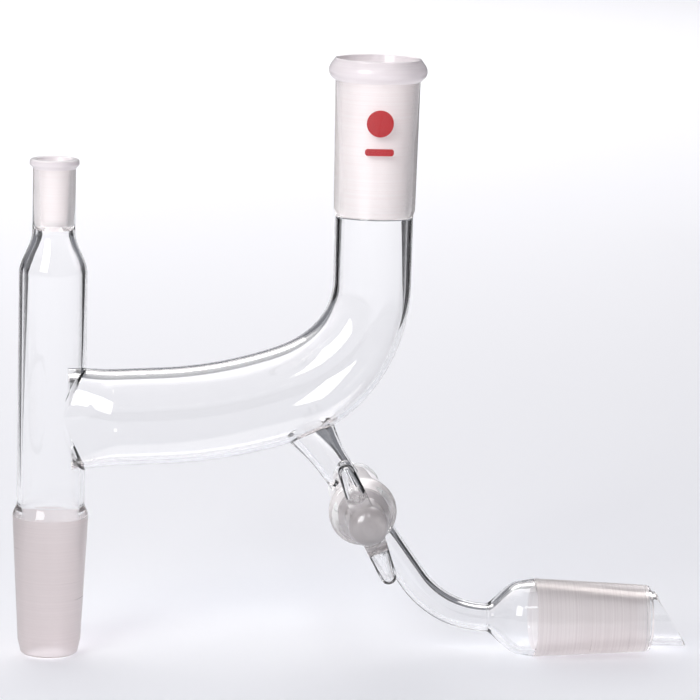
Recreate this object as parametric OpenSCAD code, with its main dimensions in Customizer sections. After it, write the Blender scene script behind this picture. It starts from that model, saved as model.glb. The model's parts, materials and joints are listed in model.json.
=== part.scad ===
// Distilling head with reflux bend and stopcock take-off, in borosilicate glass.
// Millimetres. The origin is the centre of the flask cone's large end, +Z runs up
// the column, +X points from the column to the condenser socket, and the stopcock
// handle is on the -Y side.

/* [Column] */
// Outer diameter of the column tube
column_d = 21.5; // [18:0.1:26]
// Height of the column's straight top end above the flask cone
column_h = 78; // [74:0.5:96]
// Height of the shoulder between the column and the thermometer socket
shoulder_h = 13.5; // [10:0.5:18]
// Wall of the column, its shoulder and the flask cone
column_wall = 1.5; // [1.2:0.1:1.9]

/* [Flask cone] */
// Diameter of the cone's ground large end
flask_cone_d = 24; // [20:0.1:29]
// Length of the cone's ground zone
flask_cone_l = 40; // [32:1:48]
// Length of the plain end below the ground zone
flask_end_l = 4.5; // [3.5:0.1:6]
// Length of the flared shoulder above the cone
flask_shoulder_l = 4.5; // [3.5:0.1:6]

/* [Thermometer socket] */
// Diameter of the ground bore at its mouth
thermo_bore_d = 10; // [8.4:0.1:12]
// Length of the ground bore
thermo_bore_l = 18; // [15:0.5:22]
// Outer diameter of the socket
thermo_d = 13.4; // [13:0.1:16]
// Height of the plain lip above the ground bore
thermo_lip_h = 3; // [2.4:0.1:3.6]

/* [Reflux bend] */
// Outer diameter of the side arm
arm_d = 30.6; // [26:0.2:36.8]
// Wall of the side arm
arm_wall = 1.6; // [1.2:0.1:2]
// Height at which the side arm's axis meets the column's axis
arm_z = 31.3; // [28:0.1:37.6]
// Width of the side arm's oval end at the column
arm_root_w = 20; // [16:0.2:21]
// Height of the side arm's oval end at the column
arm_root_h = 32.6; // [27:0.2:36]
// Rise of the side arm, in degrees
arm_rise = 2.7; // [0:0.1:5]
// Length of the straight part of the side arm, from the column's axis
arm_straight = 34.8; // [28:0.2:42]
// Radius of the slow first part of the bend
sweep_r = 144; // [118:2:174]
// Angle at which the tight part of the bend begins, in degrees
sweep_end = 19; // [15:1:23]
// Radius of the tight part of the bend
bend_r = 38; // [31:1:46]
// Outer diameter of the riser
riser_d = 24.7; // [21:0.1:26]
// Length of the riser above the bend
riser_l = 20.5; // [16:0.5:26]

/* [Condenser socket] */
// Diameter of the ground bore at its mouth
condenser_bore_d = 24; // [21:0.1:25]
// Length of the ground bore
condenser_bore_l = 40; // [32:1:48]
// Outer diameter of the socket under its bead
condenser_d = 26.8; // [26.4:0.1:32]
// Diameter of the bead round the mouth
bead_d = 31; // [29.5:0.1:37]
// Height of the bead
bead_h = 7; // [5.6:0.1:8.4]
// Height of the clear collar under the ground bore
collar_h = 3.6; // [3:0.1:4.4]

/* [Take-off] */
// Angle of the stem and the delivery tube below the horizontal
takeoff_angle = 54.5; // [50:0.5:60]
// Clear length of the stem between the side arm and the stopcock
stem_l = 17.8; // [15:0.2:22]
// Outer diameter of the stem at the stopcock
stem_d = 10.4; // [8.6:0.1:12.6]
// Outer diameter of the stem where it leaves the bend
stem_mouth_d = 15; // [12.4:0.1:18]
// Wall of the stem and the delivery tube
tube_wall = 1.5; // [1.2:0.1:1.8]
// Outer diameter of the delivery tube
delivery_d = 9.2; // [7.6:0.1:11]
// Length of the delivery tube's straight part, from the stopcock's axis
delivery_straight = 31.6; // [26:0.2:38]
// Radius of the delivery tube's bend
delivery_bend_r = 30; // [25:1:36]

/* [Stopcock] */
// Length of the barrel
barrel_l = 37; // [31:0.5:44.5]
// Length of the barrel's front half, from the stem's axis
barrel_front = 18; // [15:0.5:21.6]
// Diameter of the barrel's rolled front lip
barrel_lip_d = 21.5; // [21:0.1:25.8]
// Wall of the barrel
barrel_wall = 1.8; // [1.5:0.1:2.2]
// Diameter of the ground bore at the front lip
plug_d = 16; // [13.4:0.1:17]
// Diameter of the hole through the plug
plug_port_d = 4; // [3.2:0.1:4.8]
// Radial clearance between the plug and the barrel
plug_fit = 0.05; // [0.02:0.01:0.1]
// Diameter of the plug's domed head
head_d = 12.6; // [10.6:0.1:13]
// Length of the plug in front of the barrel
head_l = 23; // [20:0.5:27]
// Length of the handle from tip to tip
handle_l = 41; // [34:0.5:49]
// Depth of the handle along the plug's axis
handle_depth = 14; // [12:0.5:16]
// Thickness of the handle
handle_t = 6.8; // [5.8:0.1:8]
// Angle of the handle from the vertical
handle_angle = 23; // [0:1:90]

/* [Receiver cone] */
// Diameter of the cone's ground large end
receiver_cone_d = 25.2; // [24:0.1:30]
// Length of the cone's ground zone
receiver_cone_l = 33; // [28:0.5:40]
// Length of the plain rounded end past the ground zone
receiver_end_l = 5; // [4:0.1:6]
// Length of the domed shoulder between the delivery tube and the cone
receiver_shoulder_l = 15; // [12:0.5:18]
// Outer diameter of the drip tip
tip_d = 17.6; // [15:0.1:18]
// Length of the drip tip along its long side
tip_l = 12; // [10:0.2:14.4]
// Wall of the cone and the drip tip
receiver_wall = 1.6; // [1.3:0.1:1.9]

/* [Hidden] */
$fn = 72;

// Standard taper of ground joints and plugs: change of diameter per unit of length.
TAPER = 0.1;
CLEAR = [0.80, 0.88, 0.90, 0.45];
GROUND = [0.88, 0.85, 0.85];
// A hair's breadth that keeps cutting faces clear of the faces they cut.
NIB = 0.01;
// Height of the plain land next to a weld.
LAND = 0.6;
// How far a formed end draws in past its ground zone.
END_STEP = 0.8;
// How much thicker the stem's wall is at its mouth.
MOUTH_STEP = 1;
// How much thicker the receiver's wall is where the shoulder meets the cone.
RECEIVER_STEP = 0.3;

// Heights along the column.
column_r = column_d / 2;
shoulder_top = column_h + shoulder_h;
thermo_r = thermo_d / 2;
thermo_neck_r = thermo_bore_d / 2 - TAPER * thermo_bore_l / 2;
thermo_neck_h = 1.8;
thermo_top = shoulder_top + thermo_neck_h + thermo_bore_l + thermo_lip_h;
thermo_flare = 1.1;

// Centre line of the side arm, its two-part bend and the riser, in the XZ plane.
// A heading is the angle of the centre line above the X axis.
function arc_end(p, r, from, to) = p + r * [sin(to) - sin(from), cos(from) - cos(to)];
arm_start = [0, arm_z];
sweep_start = arm_start + arm_straight * [cos(arm_rise), sin(arm_rise)];
bend_start = arc_end(sweep_start, sweep_r, arm_rise, sweep_end);
bend_end = arc_end(bend_start, bend_r, sweep_end, 90);
riser_x = bend_end[0];
collar_z = bend_end[1] + riser_l;

// Stopcock: its axis crosses the take-off axis at the pivot.
takeoff_dir = [cos(takeoff_angle), -sin(takeoff_angle)];
takeoff_back = 1.2;
barrel_mid_r = (plug_d - TAPER * barrel_front) / 2 + barrel_wall;
takeoff_start = bend_start - takeoff_back * [cos(sweep_end), sin(sweep_end)];
takeoff_reach = arm_d / 2 + stem_l + barrel_mid_r;
pivot = takeoff_start + takeoff_reach * takeoff_dir;
barrel_rear = barrel_l - barrel_front;
lip_l = 5;
rear_bead_l = 2.6;
body_front_r = plug_d / 2 + barrel_wall;
body_rear_r = (plug_d - TAPER * barrel_l) / 2 + barrel_wall;
body_front_z = -barrel_front + 1.6 * lip_l;
body_rear_z = barrel_rear - rear_bead_l;

// Delivery tube and receiver cone.
delivery_r = delivery_d / 2;
delivery_bend_start = pivot + delivery_straight * takeoff_dir;
receiver_start = delivery_bend_start + delivery_bend_r * [sin(takeoff_angle), cos(takeoff_angle) - 1];
receiver_end_r = (receiver_cone_d - TAPER * receiver_cone_l) / 2;
tip_start = receiver_shoulder_l + receiver_cone_l + receiver_end_l;

// Retaining stub on the plug's small end.
washer_t = 1.2;
washer_gap = 0.3;
washer_clearance = 0.15;
keeper_t = 2.6;
stub_l = 7.5;
plug_small_r = (plug_d - TAPER * barrel_l) / 2;
stub_r = plug_small_r - 1.1;
groove_depth = 0.9;

// Smooth step from 0 to 1.
function ease(t) = t * t * (3 - 2 * t);
// Points of a circular arc in a profile.
function arc(c, r, from, to, n) =
    [for (i = [0:n]) c + r * [cos(from + (to - from) * i / n), sin(from + (to - from) * i / n)]];
// Points of an S-shaped shoulder from radius r0 at height z0 to r1 at z1.
function shoulder(r0, z0, r1, z1, n) =
    [for (i = [0:n]) [r0 + (r1 - r0) * ease(i / n), z0 + (z1 - z0) * i / n]];
// A list in the opposite order.
function reversed(list) = [for (i = [len(list) - 1:-1:0]) list[i]];

// Turns +Z onto +X, for what revolves round the receiver's axis.
module along_receiver() {
    translate([receiver_start[0], 0, receiver_start[1]]) rotate([0, 90, 0]) children();
}

// Turns +Z onto +Y with its origin at the pivot, for what revolves round the plug's axis.
module along_plug() {
    translate([pivot[0], 0, pivot[1]]) rotate([-90, 0, 0]) children();
}

// Turns +Z onto the take-off direction with its origin at the pivot.
module along_takeoff() {
    translate([pivot[0], 0, pivot[1]]) rotate([0, 90 + takeoff_angle, 0]) children();
}

// Stations of the side arm: [x, z, heading, radius across, radius in the XZ plane].
arm_r = arm_d / 2;
riser_r = riser_d / 2;
ROOT_STEPS = 6;
SWEEP_STEPS = 5;
BEND_STEPS = 14;
root_l = 16;
root_depth = column_r * 0.45;
function root_station(t) =
    let (s = root_depth + root_l * t, p = arm_start + s * [cos(arm_rise), sin(arm_rise)])
    [p[0], p[1], arm_rise, (arm_root_w + (arm_d - arm_root_w) * ease(t)) / 2,
     (arm_root_h + (arm_d - arm_root_h) * ease(t)) / 2];
function sweep_station(t) =
    let (a = arm_rise + (sweep_end - arm_rise) * t, p = arc_end(sweep_start, sweep_r, arm_rise, a))
    [p[0], p[1], a, arm_r, arm_r];
function bend_station(t) =
    let (a = sweep_end + (90 - sweep_end) * t, p = arc_end(bend_start, bend_r, sweep_end, a),
         r = arm_r + (riser_r - arm_r) * ease(t))
    [p[0], p[1], a, r, r];
arm_stations = concat(
    [for (i = [0:ROOT_STEPS]) root_station(i / ROOT_STEPS)],
    [for (i = [0:SWEEP_STEPS - 1]) sweep_station(i / SWEEP_STEPS)],
    [for (i = [0:BEND_STEPS]) bend_station(i / BEND_STEPS)],
    [[riser_x, collar_z, 90, riser_r, riser_r]]);

ARM_SIDES = 40;

// Stations of the delivery tube, from inside the barrel's wall to the receiver's axis.
DELIVERY_SIDES = 28;
DELIVERY_STEPS = 12;
delivery_root = 2;
delivery_stations = concat(
    [let (p = pivot + delivery_root * takeoff_dir) [p[0], p[1], -takeoff_angle, delivery_r, delivery_r]],
    [for (i = [0:DELIVERY_STEPS]) let (a = -takeoff_angle * (1 - i / DELIVERY_STEPS),
        p = arc_end(delivery_bend_start, delivery_bend_r, -takeoff_angle, a))
        [p[0], p[1], a, delivery_r, delivery_r]]);

// A ring of points round one station, set in by a wall.
function ring(s, wall, sides) = [for (i = [0:sides - 1])
    let (a = 360 * i / sides, up = (s[4] - wall) * cos(a))
    [s[0] - up * sin(s[2]), (s[3] - wall) * sin(a), s[1] + up * cos(s[2])]];

// Outer skin and bore of a bent tube, open at both ends, through a list of stations.
module bent_tube(stations, wall, sides) {
    n = len(stations);
    m = sides;
    outer = [for (s = stations) each ring(s, 0, m)];
    inner = [for (s = stations) each ring(s, wall, m)];
    skin = [for (j = [0:n - 2], i = [0:m - 1]) let (k = (i + 1) % m)
        [j * m + i, j * m + k, (j + 1) * m + k, (j + 1) * m + i]];
    bore = [for (f = skin) [for (v = reversed(f)) v + n * m]];
    ends = [for (i = [0:m - 1]) let (k = (i + 1) % m) each
        [[k, i, n * m + i, n * m + k],
         [(n - 1) * m + i, (n - 1) * m + k, (2 * n - 1) * m + k, (2 * n - 1) * m + i]]];
    polyhedron(concat(outer, inner), concat(skin, bore, ends), convexity = 6);
}

// A hollow turned part: outside points upwards, then inside points downwards.
module turned(outside, inside) {
    rotate_extrude() polygon(concat(outside, inside));
}

module thermometer_socket() {
    z0 = shoulder_top;
    bore_z = z0 + thermo_neck_h;
    bore_top = bore_z + thermo_bore_l;
    half_lip = thermo_lip_h / 2;
    lip_r = thermo_r + thermo_flare;
    rim_drop = 0.5;
    rim_round = [0.1, 0.6] * thermo_flare;
    mouth_ease = 0.6;
    color(GROUND) turned(
        concat([[thermo_r, z0], [thermo_r, bore_top - half_lip]],
               shoulder(thermo_r, bore_top, lip_r, thermo_top - half_lip, 4),
               [[lip_r - rim_round[0], thermo_top - rim_drop], [lip_r - rim_round[1], thermo_top]]),
        [[thermo_bore_d / 2 + mouth_ease, thermo_top], [thermo_bore_d / 2, bore_top],
         [thermo_neck_r, bore_z], [thermo_r - column_wall, z0 + LAND], [thermo_r - column_wall, z0]]);
}

module column_tube() {
    dome = shoulder(column_r, column_h, thermo_r, shoulder_top, 12);
    color(CLEAR) difference() {
        turned(
            concat([[column_r, flask_shoulder_l], [column_r, column_h]], dome),
            concat(reversed([for (p = dome) [p[0] - column_wall, p[1]]]),
                   [[column_r - column_wall, flask_shoulder_l]]));
        arm_port();
    }
}

// The hole in the column that opens into the side arm: a slot with round ends.
module arm_port() {
    w = arm_root_w / 2 - arm_wall;
    reach = arm_root_h / 2 - arm_wall - w;
    translate([0, 0, arm_z + column_r * tan(arm_rise)]) rotate([0, 90, 0]) {
        for (side = [-1, 1]) translate([side * reach, 0, 0]) cylinder(r = w, h = column_d);
        translate([-reach, -w, 0]) cube([2 * reach, 2 * w, column_d]);
    }
}

module flask_cone() {
    r = flask_cone_d / 2;
    r_low = r - TAPER * flask_cone_l / 2;
    bottom = -flask_cone_l - flask_end_l;
    end_r = r_low - END_STEP;
    round = 1.2;
    wall_top = column_wall + 0.6;
    wall_low = column_wall + 0.2;
    color(GROUND) turned(
        concat([[end_r - round, bottom]], arc([end_r - round, bottom + round], round, -70, 0, 4),
               [[r_low, -flask_cone_l], [r, 0]], shoulder(r, LAND, column_r, flask_shoulder_l, 6)),
        [[column_r - column_wall, flask_shoulder_l], [r - wall_top, 0], [r_low - wall_low, -flask_cone_l],
         [end_r - column_wall, bottom]]);
}

module side_arm() {
    color(CLEAR) difference() {
        bent_tube(arm_stations, arm_wall, ARM_SIDES);
        cylinder(r = column_r, h = column_h);
        along_takeoff() translate([0, 0, -takeoff_reach])
            cylinder(r = stem_mouth_d / 2 - tube_wall - MOUTH_STEP, h = takeoff_reach);
    }
}

module condenser_socket() {
    r = condenser_d / 2;
    draft = 0.5;
    mouth_ease = 0.9;
    rim_land = 0.3;
    bead_skew = 0.85;
    bead_steps = 10;
    weld_land = 0.4;
    throat_z = collar_z + collar_h * 0.4;
    bore_r = condenser_bore_d / 2;
    bore_low = bore_r - TAPER * condenser_bore_l / 2;
    bore_z = collar_z + collar_h;
    bore_top = bore_z + condenser_bore_l;
    top = bore_top + bead_h;
    bulge = (bead_d - condenser_d) / 2;
    color(GROUND) translate([riser_x, 0, 0]) turned(
        concat([[riser_r, collar_z]],
               shoulder(riser_r, collar_z + weld_land, r - draft, bore_z, 4), [[r, bore_top]],
               [for (i = [1:bead_steps - 1]) let (t = i / bead_steps)
                   [r + bulge * sin(180 * pow(t, bead_skew)), bore_top + bead_h * t]],
               [[r + rim_land, top]]),
        [[bore_r + mouth_ease, top], [bore_r, bore_top], [bore_low, bore_z],
         [riser_r - arm_wall, throat_z], [riser_r - arm_wall, collar_z]]);
}

// The side arm's outer surface near the take-off, as a solid bent rod.
module arm_rod() {
    turn = 105;
    translate([bend_end[0] - bend_r, 0, bend_end[1]]) rotate([90, 0, 0]) rotate([0, 0, -turn])
        rotate_extrude(angle = turn) translate([bend_r, 0]) circle(r = arm_r);
}

module takeoff_stem() {
    color(CLEAR) difference() {
        along_takeoff() stem_walls();
        arm_rod();
        barrel_rod();
    }
}

// The stem's wall: a cone that flares where it meets the side arm.
module stem_walls() {
    into_arm = 4;
    into_barrel = -barrel_mid_r * 0.5;
    spread = 1.2;
    port_ease = 0.4;
    far = takeoff_reach - arm_r + into_arm;
    flare = 6;
    flare_steps = 4;
    flare_w = (stem_mouth_d - stem_d) * 0.35;
    top_r = stem_d / 2 + spread;
    rotate_extrude() polygon(concat(
        [[stem_d / 2, into_barrel], [top_r, -far + flare]],
        [for (i = [1:flare_steps]) let (t = i / flare_steps)
            [top_r + flare_w * ease(t), -far + flare * (1 - t)]],
        [[stem_mouth_d / 2 - tube_wall - MOUTH_STEP, -far], [stem_d / 2 - tube_wall, -far + flare],
         [plug_port_d / 2 + port_ease, into_barrel]]));
}

module stopcock_barrel() {
    lip_r = barrel_lip_d / 2;
    z0 = -barrel_front;
    bead = 0.5;
    lip_round = [[1.4, 0], [0.4, 0.5], [0, 1.6]];
    lip_end = z0 + lip_l * 0.6;
    color(CLEAR) difference() {
        along_plug() turned(
            concat([for (p = lip_round) [lip_r - p[0], z0 + p[1]]], [[lip_r, lip_end]],
                   shoulder(lip_r, lip_end, body_front_r, body_front_z, 5),
                   [[body_rear_r, body_rear_z], [body_rear_r + bead, body_rear_z + 2 * bead],
                    [body_rear_r + bead, barrel_rear - bead], [body_rear_r, barrel_rear]]),
            [[plug_small_r, barrel_rear], [plug_d / 2, z0]]);
        along_takeoff() translate([0, 0, -barrel_lip_d]) cylinder(d = plug_port_d, h = 2 * barrel_lip_d);
    }
}

module delivery_tube() {
    color(CLEAR) difference() {
        bent_tube(delivery_stations, tube_wall, DELIVERY_SIDES);
        barrel_rod();
    }
}

// The barrel's outside between its lip and its rear bead, as a solid cone.
module barrel_rod() {
    along_plug() translate([0, 0, body_front_z])
        cylinder(r1 = body_front_r, r2 = body_rear_r, h = body_rear_z - body_front_z);
}

module receiver_shoulder() {
    r = receiver_cone_d / 2;
    l = receiver_shoulder_l;
    steps = 8;
    dome_l = l * 0.72;
    land_r = r - 0.7;
    bore_land_r = r - 2.3;
    bore_r = delivery_r - tube_wall;
    bore_lag = 1.4;
    bore_dome_l = dome_l - 1;
    rise = [for (i = [1:steps]) sin(90 * pow(i / steps, 1.15))];
    color(CLEAR) along_receiver() turned(
        concat([[delivery_r, 0]],
               [for (i = [1:steps]) [delivery_r + (land_r - delivery_r) * rise[i - 1], dome_l * i / steps]],
               [[r, l]]),
        concat([[r - receiver_wall - RECEIVER_STEP, l]],
               [for (i = [steps:-1:1]) [bore_r + (bore_land_r - bore_r) * rise[i - 1],
                                        bore_lag + bore_dome_l * i / steps]],
               [[bore_r, 0]]));
}

module receiver_cone() {
    r = receiver_cone_d / 2;
    l = receiver_shoulder_l + receiver_cone_l;
    end = l + receiver_end_l;
    tip_r = tip_d / 2;
    round = 1.4;
    draw = 0.2;
    color(GROUND) along_receiver() turned(
        concat([[r, receiver_shoulder_l], [receiver_end_r, l], [receiver_end_r - draw, end - 2]],
               arc([receiver_end_r - draw - round, end - round], round, 0, 90, 4), [[tip_r, end]]),
        [[tip_r - receiver_wall, end], [tip_r - receiver_wall, l],
         [r - receiver_wall - RECEIVER_STEP, receiver_shoulder_l]]);
}

module drip_tip() {
    r = tip_d / 2;
    short_side = 1.5;
    rake = atan2(tip_l - short_side, tip_d);
    color(CLEAR) along_receiver() translate([0, 0, tip_start]) difference() {
        cylinder(r = r, h = tip_l);
        translate([0, 0, -NIB]) cylinder(r = r - receiver_wall, h = tip_l + 2 * NIB);
        translate([-r, 0, short_side]) rotate([0, -rake, 0])
            translate([-2 * r, -2 * r, 0]) cube([8 * r, 4 * r, 4 * r]);
    }
}

module stopcock_plug() {
    proud = 3.5;
    neck_l = 3;
    front = -barrel_front - proud;
    neck = front - neck_l;
    tip = -barrel_front - head_l;
    big_r = plug_d / 2 - plug_fit + TAPER * proud / 2;
    dome_steps = 8;
    dome_h = head_d / 2 * 0.7;
    stub_chamfer = 0.6;
    small_r = plug_small_r - plug_fit;
    dome_r = head_d / 2;
    groove_z = barrel_rear + washer_gap + washer_t;
    groove_r = stub_r - groove_depth;
    end = barrel_rear + stub_l;
    color(GROUND) difference() {
        along_plug() rotate_extrude() polygon(concat(
            [[0, tip]],
            [for (i = [1:dome_steps]) let (a = 90 * i / dome_steps)
                [dome_r * sin(a), tip + dome_h * (1 - cos(a))]],
            [[dome_r, neck], [big_r, front], [small_r, barrel_rear], [stub_r, barrel_rear + NIB],
             [stub_r, groove_z], [groove_r, groove_z], [groove_r, groove_z + keeper_t],
             [stub_r, groove_z + keeper_t], [stub_r - stub_chamfer, end], [0, end]]));
        plug_port();
    }
}

// The hole through the plug, in line with the handle.
module plug_port() {
    translate([pivot[0], 0, pivot[1]]) rotate([0, -handle_angle, 0])
        cylinder(d = plug_port_d, h = 2 * plug_d, center = true);
}

// Two flat round-ended lobes fused to the sides of the plug's head.
module plug_handle() {
    tip = -barrel_front - head_l;
    head_in_front = 3;
    mid = tip + head_in_front + handle_depth / 2;
    color(CLEAR) for (side = [0, 180])
        translate([pivot[0], mid, pivot[1]]) rotate([0, side - handle_angle, 0]) difference() {
            lobe();
            rotate([90, 0, 0]) cylinder(d = head_d, h = 3 * handle_depth, center = true);
        }
}

// One lobe of the handle, along +Z from the plug's axis.
module lobe() {
    r = handle_t / 2;
    reach = handle_l / 2 - r;
    half = handle_depth / 2 - r;
    spread = 0.6;
    root = head_d * 0.3;
    hull() for (end = [[root, half + spread], [reach, half - spread]], side = [-1, 1])
        translate([0, side * end[1], end[0]]) sphere(r = r, $fn = 28);
}

module plug_washer() {
    color("white") along_plug() translate([0, 0, barrel_rear + washer_gap]) difference() {
        cylinder(r = plug_small_r + barrel_wall, h = washer_t);
        translate([0, 0, -NIB]) cylinder(r = stub_r + washer_clearance, h = washer_t + 2 * NIB);
    }
}

module plug_keeper_ring() {
    gap = 0.1;
    inner_r = stub_r - groove_depth;
    outer_r = stub_r + 2.2;
    edge_r = stub_r + 1.6;
    flat = keeper_t * 0.35;
    color("dimgray") along_plug() translate([0, 0, barrel_rear + washer_gap + washer_t]) rotate_extrude()
        polygon([[inner_r, gap], [edge_r, gap], [outer_r, flat], [outer_r, keeper_t - flat],
                 [edge_r, keeper_t - gap], [inner_r, keeper_t - gap]]);
}

thermometer_socket();
column_tube();
flask_cone();
side_arm();
condenser_socket();
takeoff_stem();
stopcock_barrel();
delivery_tube();
receiver_shoulder();
receiver_cone();
drip_tip();
stopcock_plug();
plug_handle();
plug_washer();
plug_keeper_ring();
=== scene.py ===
"""Dresses a glass reflux take-off head: every piece is rebuilt as smooth double-walled glass.

The head is lampworked from drawn borosilicate tubing. Its joints are ground on a 1:10 taper and
stay matt, and everything else is fire-polished and clear. Shapes are built in millimetres and
written out in metres, in the frame's own axes, around the places that the frame gives.
"""

from __future__ import annotations

import json
import logging
import math
from abc import ABC, abstractmethod
from dataclasses import dataclass, field
from enum import Enum
from typing import Callable, Sequence

import bmesh
import bpy
from mathutils import Matrix, Vector
from mathutils.bvhtree import BVHTree


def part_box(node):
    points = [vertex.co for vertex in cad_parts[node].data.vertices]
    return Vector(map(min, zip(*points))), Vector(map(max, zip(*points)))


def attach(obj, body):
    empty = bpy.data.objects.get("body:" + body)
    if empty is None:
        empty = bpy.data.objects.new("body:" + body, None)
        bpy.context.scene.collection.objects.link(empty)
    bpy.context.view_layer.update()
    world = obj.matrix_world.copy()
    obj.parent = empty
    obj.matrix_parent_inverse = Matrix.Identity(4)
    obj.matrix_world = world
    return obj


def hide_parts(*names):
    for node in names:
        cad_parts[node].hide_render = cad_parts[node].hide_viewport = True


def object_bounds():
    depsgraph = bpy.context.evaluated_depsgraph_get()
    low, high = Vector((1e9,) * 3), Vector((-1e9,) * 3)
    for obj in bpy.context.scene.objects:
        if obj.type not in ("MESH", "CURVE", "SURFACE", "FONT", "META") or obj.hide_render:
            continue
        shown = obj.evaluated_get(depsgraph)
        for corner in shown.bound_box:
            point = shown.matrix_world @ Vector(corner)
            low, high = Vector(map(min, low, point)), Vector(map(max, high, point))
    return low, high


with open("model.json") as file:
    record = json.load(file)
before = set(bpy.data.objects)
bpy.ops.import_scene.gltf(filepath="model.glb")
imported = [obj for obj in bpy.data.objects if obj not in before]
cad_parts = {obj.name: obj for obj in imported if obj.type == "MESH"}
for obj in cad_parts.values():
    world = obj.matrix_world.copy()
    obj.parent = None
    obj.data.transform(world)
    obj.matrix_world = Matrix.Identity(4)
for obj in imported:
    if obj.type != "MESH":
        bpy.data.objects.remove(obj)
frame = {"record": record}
CAD_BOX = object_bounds()

LOG = logging.getLogger("take_off_head")
MM = 0.001
TAPER = 0.1  # a ground joint loses this much diameter per unit of length
CREASE = math.radians(32.0)  # edges that turn more than this stay crisp
SHARP_RIM = math.radians(28.0)  # rims that turn more than this are fire-polished
SIDEWAYS = 0.3  # a face whose normal leans this far to a side belongs to it
FLAT = 0.99  # a face whose normal leans this far along the axis lies across it
CLOSE_MM = 0.02  # heights this near each other are the same
RIM_MM = 0.1  # a rim this near a stretch of the axis is in it
FAR_MM = 60.0  # far enough outside the object to look back at it
PUSH_MM = 6.0  # a solid that opens a wall reaches this far past it

Loop = list[Vector]
Profile = list[tuple[float, float]]


class Skin(Enum):
    """The finish that a face of a glass piece takes, by its material slot."""

    CLEAR = 0
    GROUND = 1
    WELD = 2
    BEAD = 3


class Axis(Enum):
    """The axis that a ground surface was turned about, which its grinding rings go round."""

    X = 0
    Y = 1
    Z = 2


# ---------------------------------------------------------------- shader helpers


def linear(hex_colour: str) -> tuple[float, float, float, float]:
    """Turns an sRGB hex colour into the linear colour that shaders use.

    Args:
        hex_colour: A colour such as "#F4ECEE".

    Returns:
        Linear red, green, blue and an alpha of 1.
    """
    parts = [int(hex_colour[i : i + 2], 16) / 255 for i in (1, 3, 5)]
    red, green, blue = (c / 12.92 if c <= 0.04045 else ((c + 0.055) / 1.055) ** 2.4 for c in parts)
    return red, green, blue, 1.0


def add_node(
    tree: bpy.types.NodeTree,
    kind: str,
    settings: dict[str, object] | None = None,
    links: dict[str, bpy.types.NodeSocket] | None = None,
) -> bpy.types.Node:
    """Adds a shader node, sets its values and links its inputs.

    Args:
        tree: The node tree that gets the node.
        kind: The node's type, such as "ShaderNodeBump".
        settings: Values by input name, or by property name where the node has no such input.
        links: Output sockets by the name of the input that each goes to.

    Returns:
        The new node.
    """
    made = tree.nodes.new(kind)
    for name, value in (settings or {}).items():
        if name in made.inputs:
            made.inputs[name].default_value = value
        else:
            setattr(made, name, value)
    for name, socket in (links or {}).items():
        tree.links.new(socket, made.inputs[name])
    return made


def lit_through(
    tree: bpy.types.NodeTree, surface: bpy.types.NodeSocket, passed: str
) -> bpy.types.NodeSocket:
    """Lets lamps shine through a glass instead of leaving a black shadow.

    Args:
        tree: The material's node tree.
        surface: The glass shader's output.
        passed: The sRGB colour of light that gets through.

    Returns:
        The finished surface.
    """
    path = add_node(tree, "ShaderNodeLightPath")
    gap = add_node(tree, "ShaderNodeBsdfTransparent", {"Color": linear(passed)})
    mixed = add_node(tree, "ShaderNodeMixShader")
    for number, socket in enumerate((path.outputs["Is Shadow Ray"], surface, gap.outputs[0])):
        tree.links.new(socket, mixed.inputs[number])
    return mixed.outputs[0]


def grain(
    tree: bpy.types.NodeTree,
    where: bpy.types.NodeSocket,
    noise: dict[str, float],
    depth: float,
    tones: Sequence[tuple[float, str]] = (),
    under: bpy.types.NodeSocket | None = None,
) -> tuple[bpy.types.NodeSocket, bpy.types.NodeSocket, bpy.types.NodeSocket | None]:
    """Adds a noise pattern as relief and, where it has tones, as colour.

    Args:
        tree: The material's node tree.
        where: The coordinates that the pattern reads.
        noise: The noise's settings.
        depth: Strength of the relief.
        tones: Value and sRGB colour of the pattern's low parts and of its high parts.
        under: The normal of a coarser relief that this one lies on.

    Returns:
        The pattern, the normal of its relief, and its colour.
    """
    value = add_node(tree, "ShaderNodeTexNoise", noise, {"Vector": where}).outputs["Fac"]
    links = {"Height": value} | ({"Normal": under} if under else {})
    relief = add_node(tree, "ShaderNodeBump", {"Strength": depth, "Distance": MM}, links)
    colour = None
    if tones:
        ramp = add_node(tree, "ShaderNodeValToRGB", links={"Fac": value})
        for stop, (place, tone) in zip(ramp.color_ramp.elements, tones):
            stop.position, stop.color = place, linear(tone)
        colour = ramp.outputs["Color"]
    return value, relief.outputs["Normal"], colour


# ---------------------------------------------------------------- finishes


@dataclass(frozen=True)
class Finish(ABC):
    """What every finish shares: a name, and a material made from its surface."""

    name: str

    @abstractmethod
    def surface(self, tree: bpy.types.NodeTree) -> bpy.types.NodeSocket:
        """Adds the nodes of the surface to a tree and returns its output."""

    def build(self) -> bpy.types.Material:
        """Makes the material.

        Returns:
            The material, with this finish as its surface.
        """
        material = bpy.data.materials.new(self.name)
        material.use_nodes = True
        tree = material.node_tree
        tree.nodes.clear()
        add_node(tree, "ShaderNodeOutputMaterial", links={"Surface": self.surface(tree)})
        return material


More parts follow.
